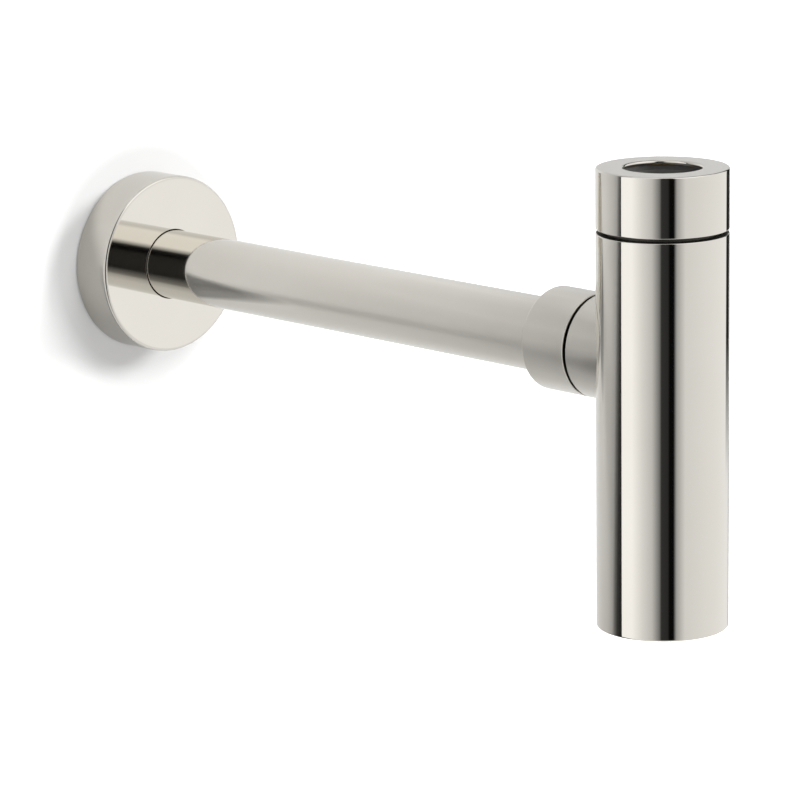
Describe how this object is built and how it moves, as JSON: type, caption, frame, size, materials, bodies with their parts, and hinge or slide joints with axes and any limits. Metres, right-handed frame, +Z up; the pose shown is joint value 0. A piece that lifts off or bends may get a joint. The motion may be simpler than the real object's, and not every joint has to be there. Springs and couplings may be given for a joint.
{
  "type": "bottle trap",
  "caption": "Tall round basin bottle trap with a plain inlet nut, a straight waste pipe gripped by an outlet nut, and a round flange that slides along the pipe to the wall.",
  "frame": {"origin": "where the waste pipe's axis meets the wall plane, at the back of the wall flange", "axes": "+X along the pipe from the wall to the bottle, +Z up"},
  "size_m": [0.4005, 0.0816, 0.1927],
  "materials": {
    "polished_nickel": "mirror-polished nickel plate on brass",
    "plain_brass": "unplated drawn brass",
    "seal_rubber": "matt moulded rubber",
    "slip_plastic": "smooth dark plastic",
    "gasket_rubber": "matt cut sheet rubber"
  },
  "bodies": {
    "waste_pipe": {"waste_pipe": "polished_nickel"},
    "wall_flange": {"wall_flange": "polished_nickel", "flange_o_ring": "seal_rubber"},
    "outlet_seal": {"outlet_seal": "seal_rubber"},
    "bottle": {"bottle": "polished_nickel", "outlet_spigot": "polished_nickel", "dip_tube": "plain_brass", "dip_tube_gasket": "gasket_rubber", "inlet_seal": "seal_rubber"},
    "outlet_slip_ring": {"outlet_slip_ring": "slip_plastic"},
    "outlet_nut": {"outlet_nut": "polished_nickel"},
    "inlet_slip_ring": {"inlet_slip_ring": "slip_plastic"},
    "inlet_nut": {"inlet_nut": "polished_nickel"}
  },
  "joints": [
    {"name": "flange_slide", "type": "slide", "parent": "waste_pipe", "child": "wall_flange", "axis": [1, 0, 0], "range_m": [0, 0.22]},
    {"name": "reach_slide", "type": "slide", "parent": "waste_pipe", "child": "outlet_seal", "axis": [1, 0, 0], "range_m": [-0.0047, 0.006]},
    {"name": "bottle_swivel", "type": "hinge", "parent": "outlet_seal", "child": "bottle", "pos_m": [0, 0, 0], "axis": [1, 0, 0], "continuous": true},
    {"name": "outlet_ring_slide", "type": "slide", "parent": "bottle", "child": "outlet_slip_ring", "axis": [-1, 0, 0], "range_m": [0, 0.012]},
    {"name": "outlet_nut_turn", "type": "hinge", "parent": "outlet_slip_ring", "child": "outlet_nut", "pos_m": [0, 0, 0], "axis": [-1, 0, 0], "range_deg": [0, 2160]},
    {"name": "inlet_ring_slide", "type": "slide", "parent": "bottle", "child": "inlet_slip_ring", "axis": [0, 0, 1], "range_m": [0, 0.012]},
    {"name": "inlet_nut_turn", "type": "hinge", "parent": "inlet_slip_ring", "child": "inlet_nut", "pos_m": [0.328, 0, 0], "axis": [0, 0, 1], "range_deg": [0, 2160]}
  ],
  "couplings": [
    {"joint": "outlet_ring_slide", "follows": "outlet_nut_turn", "m_per_rad": 0.0003183},
    {"joint": "inlet_ring_slide", "follows": "inlet_nut_turn", "m_per_rad": 0.0003183}
  ]
}
